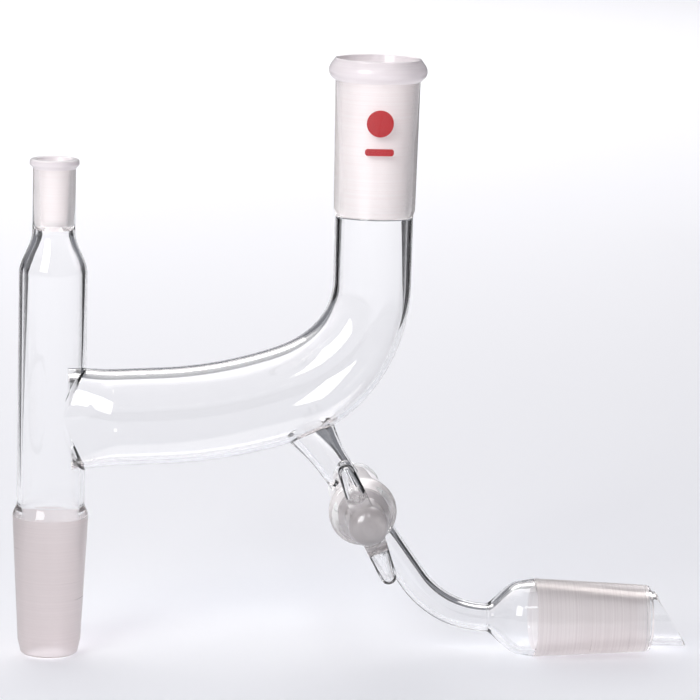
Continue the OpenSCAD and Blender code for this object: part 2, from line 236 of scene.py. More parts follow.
@dataclass(frozen=True)
class ClearGlass(Finish):
    """Borosilicate tubing as drawn: sharp reflections, with slow waves left by the drawing."""

    name: str = "borosilicate_fire_polished"
    tint: str = "#FFFFFF"
    ior: float = 1.473
    wave_mm: float = 14.0
    wave_depth: float = 0.03
    shadow: str = "#F2F3F5"

    def surface(self, tree: bpy.types.NodeTree) -> bpy.types.NodeSocket:
        """Adds the waves and the glass.

        Args:
            tree: The tree that gets them.

        Returns:
            The surface's output.
        """
        where = add_node(tree, "ShaderNodeTexCoord").outputs["Object"]
        noise = {"Scale": 1 / (self.wave_mm * MM), "Detail": 1.0, "Roughness": 0.3}
        waves = grain(tree, where, noise, self.wave_depth)[1]
        settings = {
            "Base Color": linear(self.tint),
            "Roughness": 0.0,
            "IOR": self.ior,
            "Transmission Weight": 1.0,
        }
        glass = add_node(tree, "ShaderNodeBsdfPrincipled", settings, {"Normal": waves})
        return lit_through(tree, glass.outputs[0], self.shadow)


@dataclass(frozen=True)
class GroundGlass(Finish):
    """A joint face lapped with wet grit: matt, milky, with fine rings where the lap went round.

    The rings are drawn wider than the real ones, which are too fine to see at this size.
    """

    axis: Axis
    tint: str = "#FFFAF9"
    streak: str = "#FBF3F2"
    ior: float = 1.473
    roughness: float = 0.36
    roughness_swing: float = 0.08
    haze: float = 0.55
    polish: float = 0.0
    polish_roughness: float = 0.04
    ring_mm: float = 0.5
    ring_depth: float = 0.12
    ring_evenness: float = 0.004
    stops: tuple[float, float] = (0.38, 0.62)
    grit_mm: float = 0.35
    grit_depth: float = 0.05
    shadow: str = "#D9D6D8"

    def surface(self, tree: bpy.types.NodeTree) -> bpy.types.NodeSocket:
        """Adds the rings, the grit's pits over them and the hazy glass.

        Args:
            tree: The tree that gets them.

        Returns:
            The surface's output.
        """
        where = add_node(tree, "ShaderNodeTexCoord").outputs["Object"]
        stretch = [self.ring_evenness / (self.ring_mm * MM)] * 3
        stretch[self.axis.value] = 1 / (self.ring_mm * MM)
        turned_round = add_node(tree, "ShaderNodeMapping", {"Scale": stretch}, {"Vector": where})
        rings, ring_relief, colour = grain(
            tree,
            turned_round.outputs[0],
            {"Scale": 1.0, "Detail": 3.0, "Roughness": 0.65},
            self.ring_depth,
            tuple(zip(self.stops, (self.streak, self.tint))),
        )
        pits = {"Scale": 1 / (self.grit_mm * MM), "Detail": 2.0}
        relief = grain(tree, where, pits, self.grit_depth, under=ring_relief)[1]
        low, high = self.roughness - self.roughness_swing, self.roughness + self.roughness_swing
        matt = add_node(tree, "ShaderNodeMapRange", {"To Min": low, "To Max": high}, {"Value": rings})
        settings = {
            "IOR": self.ior,
            "Transmission Weight": 1 - self.haze,
            "Coat Weight": self.polish,
            "Coat Roughness": self.polish_roughness,
        }
        links = {"Base Color": colour, "Normal": relief, "Roughness": matt.outputs["Result"]}
        glass = add_node(tree, "ShaderNodeBsdfPrincipled", settings, links)
        return lit_through(tree, glass.outputs[0], self.shadow)


@dataclass(frozen=True)
class FusedSeam(Finish):
    """The face where two pieces are fused: the glass runs on through it, so it shows nothing."""

    name: str = "fused_glass_seam"

    def surface(self, tree: bpy.types.NodeTree) -> bpy.types.NodeSocket:
        """Returns a surface that light passes unchanged."""
        return add_node(tree, "ShaderNodeBsdfTransparent", {"Color": (1.0, 1.0, 1.0, 1.0)}).outputs[0]


@dataclass(frozen=True)
class SolidFinish(Finish):
    """An opaque moulded, turned or printed surface: one colour, broken up by its own grain."""

    colour: str
    second_colour: str
    roughness: float
    grain_mm: float
    depth: float

    def surface(self, tree: bpy.types.NodeTree) -> bpy.types.NodeSocket:
        """Adds the grain and the body under it.

        Args:
            tree: The tree that gets them.

        Returns:
            The surface's output.
        """
        where = add_node(tree, "ShaderNodeTexCoord").outputs["Object"]
        noise = {"Scale": 1 / (self.grain_mm * MM), "Detail": 4.0}
        tones = ((0.3, self.second_colour), (0.6, self.colour))
        relief, colour = grain(tree, where, noise, self.depth, tones)[1:]
        links = {"Base Color": colour, "Normal": relief}
        body = add_node(tree, "ShaderNodeBsdfPrincipled", {"Roughness": self.roughness}, links)
        return body.outputs[0]


# PTFE is turned from waxy white rod, so it is soft-edged and slightly glossy.
PTFE = SolidFinish("ptfe_turned", "#F3F3F0", "#E6E7E4", 0.38, 0.6, 0.05)
# Moulded nitrile rubber is near black, with a dry bloom on it.
NITRILE_RUBBER = SolidFinish("nitrile_rubber_moulded", "#2A2A2C", "#1C1C1E", 0.62, 0.5, 0.15)
# Red ceramic ink fired on at 600 degrees: satin, with fine pits.
RED_ENAMEL = SolidFinish("ceramic_enamel_fired", "#C4262C", "#B11F26", 0.42, 0.25, 0.06)


# ---------------------------------------------------------------- mesh helpers


def ease(t: float) -> float:
    """Smooth step from 0 to 1."""
    return t * t * (3 - 2 * t)


def shoulder(start: tuple[float, float], end: tuple[float, float], steps: int) -> Profile:
    """Points of an S-shaped shoulder from one radius and height to another, both ends included."""
    (r0, z0), (r1, z1) = start, end
    return [(r0 + (r1 - r0) * ease(i / steps), z0 + (z1 - z0) * i / steps) for i in range(steps + 1)]


def arc(
    centre: tuple[float, float], radius: float, before: float, after: float, steps: int, squash: float = 1.0
) -> Profile:
    """Points of an arc about a radius and height, from one angle in degrees to another."""
    turns = [math.radians(before + (after - before) * i / steps) for i in range(steps + 1)]
    return [(centre[0] + radius * math.cos(a), centre[1] + radius * squash * math.sin(a)) for a in turns]


def ordered_ring(bm: bmesh.types.BMesh, sides: int) -> list[bmesh.types.BMVert]:
    """Adds a circle of edges.

    Args:
        bm: The mesh that gets it.
        sides: How many edges it has.

    Returns:
        Its vertices in order round the circle.
    """
    first = bmesh.ops.create_circle(bm, segments=sides, radius=1.0)["verts"][0]
    ring = [first]
    step = first.link_edges[0].other_vert(first)
    while step is not first:
        ring.append(step)
        step = next(e.other_vert(step) for e in step.link_edges if e.other_vert(step) not in ring[-2:])
        if len(ring) == sides:
            break
    return ring


def ring_edges(ring: list[bmesh.types.BMVert]) -> list[bmesh.types.BMEdge]:
    """Returns the edges between neighbours in a closed ring of vertices."""
    pairs = zip(ring, ring[1:] + ring[:1])
    return [next(e for e in a.link_edges if e.other_vert(a) is b) for a, b in pairs]


def loft(bm: bmesh.types.BMesh, loops: Sequence[Loop]) -> tuple[list, list]:
    """Extrudes a ring of edges through a row of loops that all have as many points.

    Args:
        bm: The mesh that gets the skin.
        loops: Points of each ring, in order round it.

    Returns:
        The edges of the first ring and of the last ring.
    """
    ring = ordered_ring(bm, len(loops[0]))
    for vert, point in zip(ring, loops[0]):
        vert.co = point
    first = ring_edges(ring)
    last = first
    for loop in loops[1:]:
        made = bmesh.ops.extrude_edge_only(bm, edges=last)["geom"]
        grown = {v for v in made if isinstance(v, bmesh.types.BMVert)}
        ring = [next(e.other_vert(v) for e in v.link_edges if e.other_vert(v) in grown) for v in ring]
        for vert, point in zip(ring, loop):
            vert.co = point
        last = ring_edges(ring)
    return first, last


def tube(outer: Sequence[Loop], inner: Sequence[Loop]) -> bmesh.types.BMesh:
    """Makes a closed tube from an outer and an inner skin, fused to its neighbours at both ends.

    Args:
        outer: Loops of the outer skin.
        inner: Loops of the bore.

    Returns:
        The closed mesh.
    """
    bm = bmesh.new()
    outer_ends = loft(bm, outer)
    inner_ends = loft(bm, inner)
    for outside, inside in zip(outer_ends, inner_ends):
        for face in bmesh.ops.bridge_loops(bm, edges=outside + inside)["faces"]:
            face.material_index = Skin.WELD.value
    bmesh.ops.recalc_face_normals(bm, faces=bm.faces)
    return bm


def plug_solid(loops: Sequence[Loop]) -> bmesh.types.BMesh:
    """Makes a solid through a row of loops, closed at both ends, that cuts out a weld.

    Args:
        loops: Points of each ring.

    Returns:
        The closed mesh, all of it in the fused finish.
    """
    bm = bmesh.new()
    for edges in loft(bm, loops):
        bmesh.ops.contextual_create(bm, geom=edges)
    bmesh.ops.recalc_face_normals(bm, faces=bm.faces)
    for face in bm.faces:
        face.material_index = Skin.WELD.value
    return bm


def opening(outer: Loop, inner: Loop, push: Vector) -> bmesh.types.BMesh:
    """Makes the solid that opens a wall for a tube fused to it, pushed past it on both sides."""
    return plug_solid([[p + push for p in outer], outer, inner, [p - push for p in inner]])


def rod(radius: float, depth: float, sides: int, place: Matrix, skin: Skin) -> bmesh.types.BMesh:
    """Makes a solid rod along Z and puts it in place.

    Args:
        radius: Its radius.
        depth: Its length.
        sides: How many faces go round.
        place: Takes its middle and its axis to where they lie.
        skin: The finish of what it cuts.

    Returns:
        The closed mesh.
    """
    bm = bmesh.new()
    bmesh.ops.create_cone(
        bm, cap_ends=True, segments=sides, radius1=radius, radius2=radius, depth=depth, matrix=place
    )
    for face in bm.faces:
        face.material_index = skin.value
    return bm


def spun(profile: Profile, place: Matrix, closed: bool = True, steps: int = 128) -> bmesh.types.BMesh:
    """Spins a profile about its own Z axis and puts the result in place.

    Args:
        profile: Radius and height of each point.
        place: Takes the profile's Z axis to where the piece's axis lies.
        closed: Whether the last point joins the first.
        steps: How many steps go round.

    Returns:
        The turned mesh, with outward normals where it is closed.
    """
    bm = bmesh.new()
    verts = [bm.verts.new((r, 0.0, z)) for r, z in profile]
    ends = zip(verts, verts[1:] + verts[:1]) if closed else zip(verts, verts[1:])
    edges = [bm.edges.new(pair) for pair in ends]
    bmesh.ops.spin(
        bm,
        geom=verts + edges,
        cent=(0, 0, 0),
        axis=(0, 0, 1),
        angle=math.tau,
        steps=steps,
        use_merge=True,
        use_duplicate=False,
    )
    bmesh.ops.remove_doubles(bm, verts=bm.verts, dist=1e-4)
    bmesh.ops.recalc_face_normals(bm, faces=bm.faces)
    bmesh.ops.transform(bm, matrix=place, verts=bm.verts)
    return bm


def round_rims(bm: bmesh.types.BMesh, place: Matrix, low: float, high: float, size: float) -> None:
    """Fire-polishes the sharp rims of a turned piece within a stretch of its axis.

    Args:
        bm: The turned mesh.
        place: Where its axis lies.
        low: Lowest height of the stretch, along the piece's own axis.
        high: Highest height of the stretch.
        size: How far each rim is rounded, in millimetres.
    """
    home = place.inverted()
    rims = [
        e
        for e in bm.edges
        if len(e.link_faces) == 2
        and e.calc_face_angle() > SHARP_RIM
        and all(low - RIM_MM <= (home @ v.co).z <= high + RIM_MM for v in e.verts)
    ]
    bmesh.ops.bevel(
        bm, geom=rims, offset=size, affect="EDGES", segments=4, profile=0.5, material=-1, clamp_overlap=True
    )


def paint(bm: bmesh.types.BMesh, skin: Skin, test: Callable[[Vector, Vector], bool]) -> None:
    """Gives a finish to the faces that pass a test.

    Args:
        bm: The mesh.
        skin: The finish.
        test: Takes a face's centre and its normal.
    """
    for face in bm.faces:
        if test(face.calc_center_median(), face.normal):
            face.material_index = skin.value


def zone(place: Matrix, low: float, high: float, outward: bool) -> Callable[[Vector, Vector], bool]:
    """Makes the test for one side of a turned piece's wall along a stretch of its axis.

    Args:
        place: Where the piece's axis lies.
        low: Lowest height of the stretch.
        high: Highest height of the stretch.
        outward: True for the outside of the wall and False for its bore.

    Returns:
        A test for paint().
    """
    home = place.inverted()
    turn = home.to_3x3()

    def inside(centre: Vector, normal: Vector) -> bool:
        """Tells whether a face lies in the stretch and on that side.

        Args:
            centre: The face's centre.
            normal: Its normal.

        Returns:
            True if it does.
        """
        here, facing = home @ centre, turn @ normal
        radial = Vector((here.x, here.y, 0)).normalized()
        side = facing.dot(radial)
        facing_out = side > SIDEWAYS if outward else side < -SIDEWAYS
        return low - CLOSE_MM / 2 < here.z < high + CLOSE_MM / 2 and facing_out

    return inside


def seam(place: Matrix, *heights: float) -> Callable[[Vector, Vector], bool]:
    """Makes the test for the flat end faces of a turned piece that are fused to a neighbour.

    Args:
        place: Where the piece's axis lies.
        heights: Height of each such face along that axis.

    Returns:
        A test for paint().
    """
    home = place.inverted()

    def at_end(centre: Vector, normal: Vector) -> bool:
        """Tells whether a face is one of those ends from its centre and its normal."""
        flat = abs((home.to_3x3() @ normal).z) > FLAT
        return flat and any(abs((home @ centre).z - h) < CLOSE_MM for h in heights)

    return at_end


def skin_tree(loops: Sequence[Loop]) -> BVHTree:
    """Makes a search tree of the open skin through a row of loops.

    Args:
        loops: Points of each ring.

    Returns:
        The tree.
    """
    bm = bmesh.new()
    loft(bm, loops)
    return BVHTree.FromBMesh(bm)


def cast(loop: Loop, along: Vector, tree: BVHTree) -> Loop:
    """Drops the points of a loop onto a surface. A point that misses stays where it is."""
    return [tree.ray_cast(point, along)[0] or point for point in loop]


def circle(centre: Vector, along: Vector, radius: float, sides: int) -> Loop:
    """Points of a circle in the plane across a direction that has no Y part, from its upper side."""
    return oval(centre, math.atan2(along.z, along.x), radius, radius, sides)


def oval(centre: Vector, heading: float, across: float, upright: float, sides: int) -> Loop:
    """Points of an ellipse in the plane across a heading in the XZ plane.

    Args:
        centre: Its centre.
        heading: Angle of its axis above +X, in radians.
        across: Half its width along Y.
        upright: Half its height in the XZ plane.
        sides: How many points it has.

    Returns:
        The points, in order.
    """
    up = Vector((-math.sin(heading), 0, math.cos(heading)))
    side = Vector((0, 1, 0))
    turns = [math.tau * i / sides for i in range(sides)]
    return [centre + up * (upright * math.cos(a)) + side * (across * math.sin(a)) for a in turns]


def heading_vector(heading: float) -> Vector:
    """Unit vector at an angle above +X in the XZ plane."""
    return Vector((math.cos(heading), 0, math.sin(heading)))


def arc_end(start: Vector, radius: float, before: float, after: float) -> Vector:
    """Where a bend in the XZ plane ends, with a radius that is positive where the heading grows."""
    shift = Vector((math.sin(after) - math.sin(before), 0, math.cos(before) - math.cos(after)))
    return start + shift * radius


def as_object(name: str, bm: bmesh.types.BMesh, materials: Sequence[bpy.types.Material]) -> bpy.types.Object:
    """Turns a mesh into an object of the scene.

    Args:
        name: The object's name.
        bm: The mesh, which is used up.
        materials: Its material slots.

    Returns:
        The object.
    """
    mesh = bpy.data.meshes.new(name)
    bm.to_mesh(mesh)
    bm.free()
    obj = bpy.data.objects.new(name, mesh)
    bpy.context.scene.collection.objects.link(obj)
    for material in materials:
        mesh.materials.append(material)
    return obj


class Bench:
    """Turns finished meshes into named pieces, dressed and mounted on a body of the frame."""

    def __init__(self) -> None:
        """Makes the materials that the glass pieces share."""
        self.clear = ClearGlass().build()
        self.seam = FusedSeam().build()
        # A bore is ground on the inside, and its outside stays bright.
        self.bores = {a: GroundGlass(f"borosilicate_ground_bore_{a.name.lower()}", a).build() for a in Axis}
        # A cone is ground on the outside: greyer, with rings that the stone left from end to end.
        # The receiver's cone was cut with a coarser stone than the flask's.
        stones = ((Axis.X, "#F2ECEA", "#E2DAD9", 0.08), (Axis.Z, "#E9DFDE", "#E3D9D8", 0.04))
        self.cones = {
            axis: GroundGlass(
                f"borosilicate_ground_cone_{axis.name.lower()}",
                axis,
                tint=tint,
                streak=streak,
                roughness=0.3,
                haze=0.24,
                ring_mm=0.7,
                ring_depth=depth,
            ).build()
            for axis, tint, streak, depth in stones
        }
        # The bead is rolled in the flame over ground glass, so it is milky under a bright surface.
        self.bead = GroundGlass(
            "borosilicate_rolled_bead",
            Axis.Z,
            tint="#FCF7F8",
            streak="#F7F1F3",
            ring_depth=0.02,
            polish=0.6,
        ).build()
        # The plug is lapped, then its domed head is flame-glazed, so it is matt inside and shines on top.
        self.plug = GroundGlass(
            "borosilicate_lapped_and_glazed",
            Axis.Y,
            tint="#CDC8C7",
            streak="#C4BFBF",
            haze=0.34,
            ring_depth=0.04,
            polish=1.0,
        ).build()

    def bore_slots(self, axis: Axis) -> list[bpy.types.Material]:
        """Returns the materials of a glass piece whose bore was ground about an axis."""
        return [self.clear, self.bores[axis], self.seam, self.bead]

    def cone_slots(self, axis: Axis) -> list[bpy.types.Material]:
        """Returns the materials of a glass piece whose outside was ground about an axis."""
        return [self.clear, self.cones[axis], self.seam, self.bead]

    def piece(
        self, name: str, bm: bmesh.types.BMesh, materials: Sequence[bpy.types.Material]
    ) -> bpy.types.Object:
        """Writes a mesh out in metres as an object with smooth faces and crisp edges.

        Args:
            name: The object's name.
            bm: The mesh in millimetres, which is used up.
            materials: Its material slots.

        Returns:
            The object.
        """
        bmesh.ops.scale(bm, vec=(MM, MM, MM), verts=bm.verts)
        for face in bm.faces:
            face.smooth = True
        for edge in bm.edges:
            turn = edge.calc_face_angle(0.0) if len(edge.link_faces) == 2 else 0.0
            edge.smooth = turn < CREASE
        return as_object(name, bm, materials)

    def carve(self, obj: bpy.types.Object, cutters: Sequence[bmesh.types.BMesh]) -> None:
        """Cuts solids out of a piece. What a cut leaves takes the cutter's finish.

        Args:
            obj: The piece.
            cutters: Closed meshes in millimetres, which are used up.
        """
        for number, bm in enumerate(cutters):
            tool = self.piece(f"{obj.name}_cutter_{number}", bm, list(obj.data.materials))
            cut = obj.modifiers.new("cut", "BOOLEAN")
            cut.operation, cut.solver, cut.object = "DIFFERENCE", "EXACT", tool
            evaluated = obj.evaluated_get(bpy.context.evaluated_depsgraph_get())
            carved = bpy.data.meshes.new_from_object(evaluated)
            obj.modifiers.clear()
            obj.data = carved
            bpy.data.objects.remove(tool)
        obj.data.set_sharp_from_angle(angle=CREASE)

    def mount(
        self,
        name: str,
        bm: bmesh.types.BMesh,
        materials: Sequence[bpy.types.Material],
        body: str,
        node: str = "",
        cutters: Sequence[bmesh.types.BMesh] = (),
    ) -> None:
        """Makes a piece, lets it ride on a body in place of a construction node, and reports it.

        Args:
            name: The piece's name.
            bm: Its mesh in millimetres, which is used up.
            materials: Its material slots.
            body: The body that it moves with.
            node: The construction node that it stands for, where it has one.
            cutters: Solids that are cut out of it, which are used up.
        """
        obj = self.piece(name, bm, materials)
        if cutters:
            self.carve(obj, cutters)
        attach(obj, body)
        if node:
            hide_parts(node)
        LOG.info("%s: %d faces, rides on %s", obj.name, len(obj.data.polygons), body)


def node_box(node: str) -> tuple[Vector, Vector]:
    """Returns a construction node's lowest and highest corners in millimetres."""
    low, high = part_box(node)
    return low / MM, high / MM


UPRIGHT = Matrix.Identity(4)


# ---------------------------------------------------------------- sub-assemblies


@dataclass
class RefluxBend:
    """The side arm that rises from the column, and the joint for the condenser on top of it."""

    arm_d: float = 30.6
    arm_wall: float = 1.6
    arm_z: float = 31.3
    root_w: float = 20.0
    root_h: float = 32.6
    root_l: float = 16.0
    start_share: float = 0.45
    rise_deg: float = 2.7
    straight: float = 34.8
    sweep_r: float = 144.0
    sweep_deg: float = 19.0
    bend_r: float = 38.0
    riser_d: float = 24.7
    column_d: float = 21.5
    column_wall: float = 1.5
    socket_d: float = 26.8
    socket_draft: float = 0.5
    bore_d: float = 24.0
    bore_l: float = 40.0
    bead_d: float = 31.0
    bead_h: float = 7.0
    bead_skew: float = 0.85
    rim_land: float = 0.3
    rim_round: float = 0.7
    mouth_ease: float = 0.9
    collar_h: float = 3.6
    weld_land: float = 0.4
    throat_share: float = 0.4
    takeoff_back: float = 1.2
    sides: int = 112
    stations: list[tuple[Vector, float, float, float]] = field(default_factory=list)

    def __post_init__(self) -> None:
        """Works out the centre line and the section at each station along it."""
        rise, sweep = math.radians(self.rise_deg), math.radians(self.sweep_deg)
        start = Vector((0, 0, self.arm_z))
        self.sweep_start = start + heading_vector(rise) * self.straight
        self.bend_start = arc_end(self.sweep_start, self.sweep_r, rise, sweep)
        bend_end = arc_end(self.bend_start, self.bend_r, sweep, math.pi / 2)
        low, high = node_box("condenser_socket")
        self.socket_x = (low.x + high.x) / 2
        self.collar_z, self.top_z = low.z, high.z
        arm_r, riser_r = self.arm_d / 2, self.riser_d / 2
        first = self.column_d / 2 * self.start_share
        for i in range(17):
            t = i / 16
            across = self.root_w / 2 + (arm_r - self.root_w / 2) * ease(t)
            upright = self.root_h / 2 + (arm_r - self.root_h / 2) * ease(t)
            here = start + heading_vector(rise) * (first + self.root_l * t)
            self.stations.append((here, rise, across, upright))
        for i in range(1, 5):
            along = first + self.root_l + (self.straight - first - self.root_l) * i / 5
            self.stations.append((start + heading_vector(rise) * along, rise, arm_r, arm_r))
        for i in range(12):
            turn = rise + (sweep - rise) * i / 12
            self.stations.append((arc_end(self.sweep_start, self.sweep_r, rise, turn), turn, arm_r, arm_r))
        for i in range(37):
            turn = sweep + (math.pi / 2 - sweep) * i / 36
            radius = arm_r + (riser_r - arm_r) * ease(i / 36)
            self.stations.append((arc_end(self.bend_start, self.bend_r, sweep, turn), turn, radius, radius))
        for i in range(1, 6):
            height = bend_end.z + (self.collar_z - bend_end.z) * i / 5
            self.stations.append((Vector((bend_end.x, 0, height)), math.pi / 2, riser_r, riser_r))

    def loops(self, wall: float) -> list[Loop]:
        """Works out the arm's skin from the column to the collar.

        Args:
            wall: How far it is set in from the outside.

        Returns:
            Its loops.
        """
        rings = [oval(c, h, a - wall, u - wall, self.sides) for c, h, a, u in self.stations]
        column_r = self.column_d / 2 - (self.column_wall if wall else 0.0)
        rings[0] = [Vector((math.sqrt(column_r**2 - p.y**2), p.y, p.z)) for p in rings[0]]
        return rings

    def root_cutter(self) -> bmesh.types.BMesh:
        """Makes the solid that opens the column's wall for the arm, shaped as the arm's end is.

        Returns:
            The closed mesh.
        """
        outer, inner = self.loops(0.0)[0], self.loops(self.arm_wall)[0]
        far = [Vector((self.column_d, p.y, p.z)) for p in outer]
        near = [Vector((0.0, p.y, p.z)) for p in inner]
        return plug_solid([far, outer, inner, near])

    def skins(self) -> tuple[BVHTree, BVHTree]:
        """Returns search trees of the arm's outer skin and of its bore."""
        return skin_tree(self.loops(0.0)), skin_tree(self.loops(self.arm_wall))

    def build_arm(self, bench: Bench, cutter: bmesh.types.BMesh) -> None:
        """Makes the side arm.

        Args:
            bench: Where pieces are dressed.
            cutter: The solid that opens its floor for the take-off.
        """
        bm = tube(self.loops(0.0), self.loops(self.arm_wall))
        slots = bench.bore_slots(Axis.Z)
        bench.mount("side_arm_glass", bm, slots, "head", "side_arm", [cutter])

    def build_socket(self, bench: Bench) -> None:
        """Makes the beaded socket for the condenser.

        Args:
            bench: Where pieces are dressed.
        """
        riser_r, top_r, bore_r = self.riser_d / 2, self.socket_d / 2, self.bore_d / 2
        low_r = top_r - self.socket_draft
        bore_z = self.collar_z + self.collar_h
        bore_top = bore_z + self.bore_l
        bulge = (self.bead_d - self.socket_d) / 2
        rows = 16
        rises = [i / rows for i in range(1, rows)]
        bead = [
            (top_r + bulge * math.sin(math.pi * t**self.bead_skew), bore_top + self.bead_h * t) for t in rises
        ]
        outside = [(riser_r, self.collar_z)]
        outside += shoulder((riser_r, self.collar_z + self.weld_land), (low_r, bore_z), 12)
        outside += [(top_r, bore_top), *bead, (top_r + self.rim_land, self.top_z)]
        inner_r = riser_r - self.arm_wall
        throat_z = self.collar_z + self.collar_h * self.throat_share
        inside = [
            (bore_r + self.mouth_ease, self.top_z),
            (bore_r, bore_top),
            (bore_r - TAPER * self.bore_l / 2, bore_z),
            (inner_r, throat_z),
            (inner_r, self.collar_z),
        ]
        place = Matrix.Translation((self.socket_x, 0, 0))
        bm = spun(outside + inside, place)
        round_rims(bm, place, self.top_z, self.top_z, self.rim_round)
        paint(bm, Skin.GROUND, zone(place, throat_z, bore_top, outward=False))
        paint(bm, Skin.BEAD, lambda centre, normal: centre.z > bore_top)
        paint(bm, Skin.WELD, seam(place, self.collar_z))
        self.socket_skin = spun(outside, place, closed=False)
        slots = bench.bore_slots(Axis.Z)
        bench.mount("condenser_socket_glass", bm, slots, "head", "condenser_socket")


@dataclass
class Column:
    """The upright column with the flask's cone under it and the thermometer's socket on top."""

    d: float = 21.5
    wall: float = 1.5
    cone_d: float = 24.0
    cone_l: float = 40.0
    end_round: float = 1.2
    end_step: float = 0.8
    end_rim: float = 0.35
    # How much thicker the cone's wall is at its large end, its small end and its foot.
    cone_thicker: tuple[float, float, float] = (0.6, 0.2, 0.8)
    weld_land: float = 0.6
    ground_past: float = 0.5
    thermo_d: float = 13.4
    thermo_bore_d: float = 10.0
    thermo_bore_l: float = 18.0
    thermo_neck_h: float = 1.8
    thermo_lip_h: float = 3.0
    thermo_flare: float = 1.1
    thermo_rim: float = 0.4
    thermo_ease: float = 0.6
    # How far the lip's corner is cut back, as radius and height at each of its two points.
    thermo_corner: tuple = ((0.1, 0.5), (0.6, 0.0))
    shoulder_h: float = 13.5

    def __post_init__(self) -> None:
        """Takes the heights of the column's parts from the frame."""
        low, high = node_box("column_tube")
        self.foot_z, self.neck_z = low.z, high.z
        self.cone_low_z = node_box("flask_cone")[0].z
        self.top_z = node_box("thermometer_socket")[1].z

    def build_tube(self, bench: Bench, arm: RefluxBend) -> None:
        """Makes the column's tube, open to the side arm.

        Args:
            bench: Where pieces are dressed.
            arm: The side arm that leaves it.
        """
        r = self.d / 2
        rows = 24
        dome = shoulder((r, self.neck_z - self.shoulder_h), (self.thermo_d / 2, self.neck_z), rows)
        run = dome[0][1] - self.foot_z
        outside = [(r, self.foot_z + run * i / rows) for i in range(rows)] + dome
        inside = [(p[0] - self.wall, p[1]) for p in reversed(outside)]
        bm = spun(outside + inside, UPRIGHT)
        paint(bm, Skin.WELD, seam(UPRIGHT, self.foot_z, self.neck_z))
        cutters, slots = [arm.root_cutter()], bench.bore_slots(Axis.Z)
        bench.mount("column_glass", bm, slots, "head", "column_tube", cutters)

    def build_cone(self, bench: Bench) -> None:
        """Makes the ground cone that goes into the flask.

        Args:
            bench: Where pieces are dressed.
        """
        r = self.cone_d / 2
        low_r = r - TAPER * self.cone_l / 2
        bottom, rim = self.cone_low_z, self.end_round
        curl = arc((low_r - self.end_step - rim, bottom + rim), rim, -80, 0, 8)
        outside = [*curl, (low_r, -self.cone_l), (r, 0.0)]
        outside += shoulder((r, self.weld_land), (self.d / 2, self.foot_z), 12)
        large, small, foot = self.cone_thicker
        inside = [
            (self.d / 2 - self.wall, self.foot_z),
            (r - self.wall - large, 0.0),
            (low_r - self.wall - small, -self.cone_l),
            (low_r - self.wall - foot, bottom),
        ]
        bm = spun(outside + inside, UPRIGHT)
        round_rims(bm, UPRIGHT, bottom, bottom, self.end_rim)
        paint(bm, Skin.GROUND, zone(UPRIGHT, bottom, self.ground_past, outward=True))
        paint(bm, Skin.WELD, seam(UPRIGHT, self.foot_z))
        slots = bench.cone_slots(Axis.Z)
        bench.mount("flask_cone_glass", bm, slots, "head", "flask_cone")

    def build_socket(self, bench: Bench) -> None:
        """Makes the small socket for the thermometer.

        Args:
            bench: Where pieces are dressed.
        """
        r, z0, bore_r = self.thermo_d / 2, self.neck_z, self.thermo_bore_d / 2
        bore_z = z0 + self.thermo_neck_h
        bore_top = bore_z + self.thermo_bore_l
        lip = r + self.thermo_flare
        half = self.thermo_lip_h / 2
        outside = [(r, z0), (r, bore_top - half)]
        outside += shoulder((r, bore_top), (lip, self.top_z - half), 10)
        outside += [(lip - inward, self.top_z - down) for inward, down in self.thermo_corner]
        inside = [
            (bore_r + self.thermo_ease, self.top_z),
            (bore_r, bore_top),
            (bore_r - TAPER * self.thermo_bore_l / 2, bore_z),
            (r - self.wall, z0 + self.thermo_ease),
            (r - self.wall, z0),
        ]
        bm = spun(outside + inside, UPRIGHT)
        round_rims(bm, UPRIGHT, self.top_z, self.top_z, self.thermo_rim)
        paint(bm, Skin.GROUND, zone(UPRIGHT, bore_z, bore_top, outward=False))
        paint(bm, Skin.BEAD, lambda centre, normal: centre.z > bore_top)
        paint(bm, Skin.WELD, seam(UPRIGHT, z0))
        slots = bench.bore_slots(Axis.Z)
        bench.mount("thermometer_socket_glass", bm, slots, "head", "thermometer_socket")


